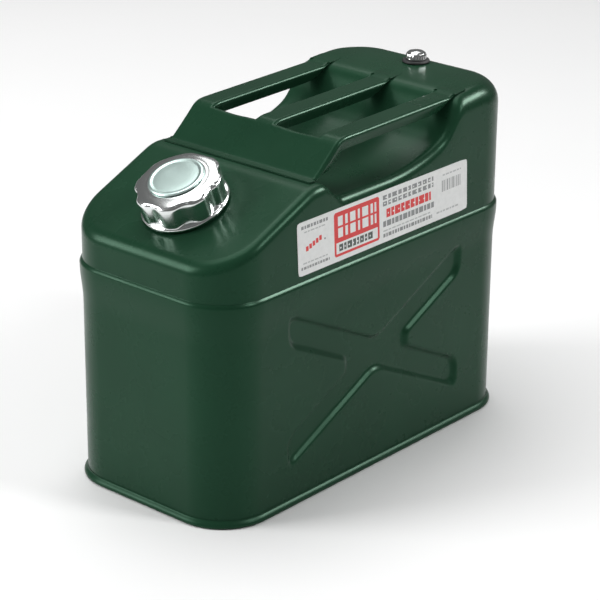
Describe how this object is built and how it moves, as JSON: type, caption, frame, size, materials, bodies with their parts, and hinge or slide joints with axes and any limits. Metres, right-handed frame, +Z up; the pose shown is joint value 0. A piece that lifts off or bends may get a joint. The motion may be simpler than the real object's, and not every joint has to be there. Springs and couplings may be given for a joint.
{
  "type": "fuel can",
  "caption": "Upright green steel fuel can with a slanted filler shoulder, lobed screw cap, three-bar bridge handle, pressed cross sides and a vent screw.",
  "frame": {"origin": "middle of the footprint, on the surface the can stands on", "axes": "+X from the filler end towards the vent end, +Z up, Y across the can; the label is on the -Y side"},
  "size_m": [0.33, 0.1652, 0.2721],
  "materials": {
    "green_enamel": "semi-gloss dark green baked enamel",
    "plated_steel": "zinc plated steel",
    "bright_chrome": "bright plated pressing",
    "black_rubber": "fuel-proof black rubber",
    "spout_steel": "plated steel hose",
    "label_print": null
  },
  "bodies": {
    "root": {"body_wrap": "green_enamel", "bottom_pan": "green_enamel", "top_shell": "green_enamel", "handle_pressing": "green_enamel", "side_label": "label_print", "filler_neck": "plated_steel", "neck_seat": "green_enamel", "spout_flange": "spout_steel", "spout_gasket": "black_rubber", "spout_hose": "spout_steel", "spout_tip": "spout_steel", "vent_boss": "plated_steel"},
    "cap_seal": {"cap_gasket": "black_rubber"},
    "cap": {"cap_shell": "bright_chrome", "cap_centre_disc": "bright_chrome", "cap_liner": "plated_steel"},
    "vent_seal": {"vent_washer": "black_rubber"},
    "vent_screw": {"vent_knob": "bright_chrome", "vent_stud": "plated_steel"}
  },
  "joints": [
    {"name": "cap_lift", "type": "slide", "parent": "root", "child": "cap_seal", "axis": [-0.3955, 0, 0.9184], "range_m": [0, 0.00801]},
    {"name": "cap_turn", "type": "hinge", "parent": "cap_seal", "child": "cap", "pos_m": [-0.11536, 0, 0.21407], "axis": [-0.3955, 0, 0.9184], "range_deg": [0, 720]},
    {"name": "vent_lift", "type": "slide", "parent": "root", "child": "vent_seal", "axis": [0, 0, 1], "range_m": [0, 0.00376]},
    {"name": "vent_turn", "type": "hinge", "parent": "vent_seal", "child": "vent_screw", "pos_m": [0.138, 0, 0.263], "axis": [0, 0, 1], "range_deg": [0, 1080]}
  ],
  "couplings": [
    {"joint": "cap_lift", "follows": "cap_turn", "m_per_rad": 0.00063662},
    {"joint": "vent_lift", "follows": "vent_turn", "m_per_rad": 0.00019894}
  ]
}
